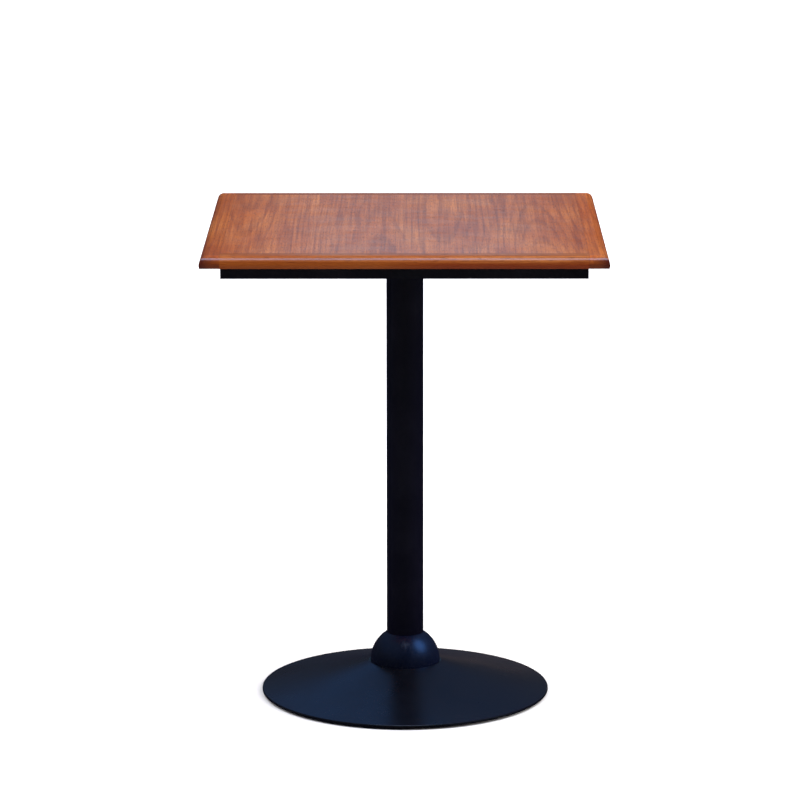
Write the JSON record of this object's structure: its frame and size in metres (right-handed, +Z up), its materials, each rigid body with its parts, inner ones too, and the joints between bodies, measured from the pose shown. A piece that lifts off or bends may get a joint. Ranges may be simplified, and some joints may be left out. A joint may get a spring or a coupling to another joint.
{
  "type": "bistro table",
  "caption": "Square bistro table: lipped wooden top on a black angle frame, round column with a dome, and a round weighted base on levelling glides.",
  "frame": {"origin": "centre of the table's footprint on the floor, under the column", "axes": "+Z up along the column, -Y towards the front, +X to the front view's right"},
  "size_m": [0.6, 0.6, 0.74],
  "materials": {
    "wood_core": "gloss lacquer, grain front to back",
    "wood_lipping": "gloss lacquer, grain along each lipping",
    "frame_paint": "black, satin",
    "column_paint": "black, satin",
    "dome_paint": "black, semi-gloss",
    "base_paint": "blue-black, semi-gloss",
    "zinc": "zinc plated",
    "iron": "rough cast, dark primer",
    "nylon": "moulded, matte"
  },
  "bodies": {
    "table": {"top_panel": "wood_core", "lipping_front": "wood_lipping", "lipping_rear": "wood_lipping", "lipping_left": "wood_lipping", "lipping_right": "wood_lipping", "rail_front": "frame_paint", "rail_rear": "frame_paint", "rail_left": "frame_paint", "rail_right": "frame_paint", "cross_tube_front": "frame_paint", "cross_tube_rear": "frame_paint", "head_plate": "frame_paint", "head_spigot": "frame_paint", "wood_screws": "zinc", "column_tube": "column_paint", "foot_plug": "nylon", "tie_rod": "zinc", "upper_washer": "zinc", "upper_nut": "zinc", "lower_washer": "zinc", "lower_nut": "zinc", "dome_cover": "dome_paint", "base_cover": "base_paint", "ballast": "iron"},
    "glide_pad_1": {"glide_pad_1": "nylon"},
    "glide_stud_1": {"glide_stud_1": "zinc"},
    "glide_pad_2": {"glide_pad_2": "nylon"},
    "glide_stud_2": {"glide_stud_2": "zinc"},
    "glide_pad_3": {"glide_pad_3": "nylon"},
    "glide_stud_3": {"glide_stud_3": "zinc"},
    "glide_pad_4": {"glide_pad_4": "nylon"},
    "glide_stud_4": {"glide_stud_4": "zinc"}
  },
  "joints": [
    {"name": "glide_slide_1", "type": "slide", "parent": "table", "child": "glide_pad_1", "axis": [0, 0, -1], "range_m": [0, 0.005]},
    {"name": "glide_turn_1", "type": "hinge", "parent": "glide_pad_1", "child": "glide_stud_1", "pos_m": [-0.11879, -0.11879, 0.004], "axis": [0, 0, -1], "range_deg": [0, 1440]},
    {"name": "glide_slide_2", "type": "slide", "parent": "table", "child": "glide_pad_2", "axis": [0, 0, -1], "range_m": [0, 0.005]},
    {"name": "glide_turn_2", "type": "hinge", "parent": "glide_pad_2", "child": "glide_stud_2", "pos_m": [0.11879, -0.11879, 0.004], "axis": [0, 0, -1], "range_deg": [0, 1440]},
    {"name": "glide_slide_3", "type": "slide", "parent": "table", "child": "glide_pad_3", "axis": [0, 0, -1], "range_m": [0, 0.005]},
    {"name": "glide_turn_3", "type": "hinge", "parent": "glide_pad_3", "child": "glide_stud_3", "pos_m": [0.11879, 0.11879, 0.004], "axis": [0, 0, -1], "range_deg": [0, 1440]},
    {"name": "glide_slide_4", "type": "slide", "parent": "table", "child": "glide_pad_4", "axis": [0, 0, -1], "range_m": [0, 0.005]},
    {"name": "glide_turn_4", "type": "hinge", "parent": "glide_pad_4", "child": "glide_stud_4", "pos_m": [-0.11879, 0.11879, 0.004], "axis": [0, 0, -1], "range_deg": [0, 1440]}
  ],
  "couplings": [
    {"joint": "glide_slide_1", "follows": "glide_turn_1", "m_per_rad": 0.00019894},
    {"joint": "glide_slide_2", "follows": "glide_turn_2", "m_per_rad": 0.00019894},
    {"joint": "glide_slide_3", "follows": "glide_turn_3", "m_per_rad": 0.00019894},
    {"joint": "glide_slide_4", "follows": "glide_turn_4", "m_per_rad": 0.00019894}
  ]
}
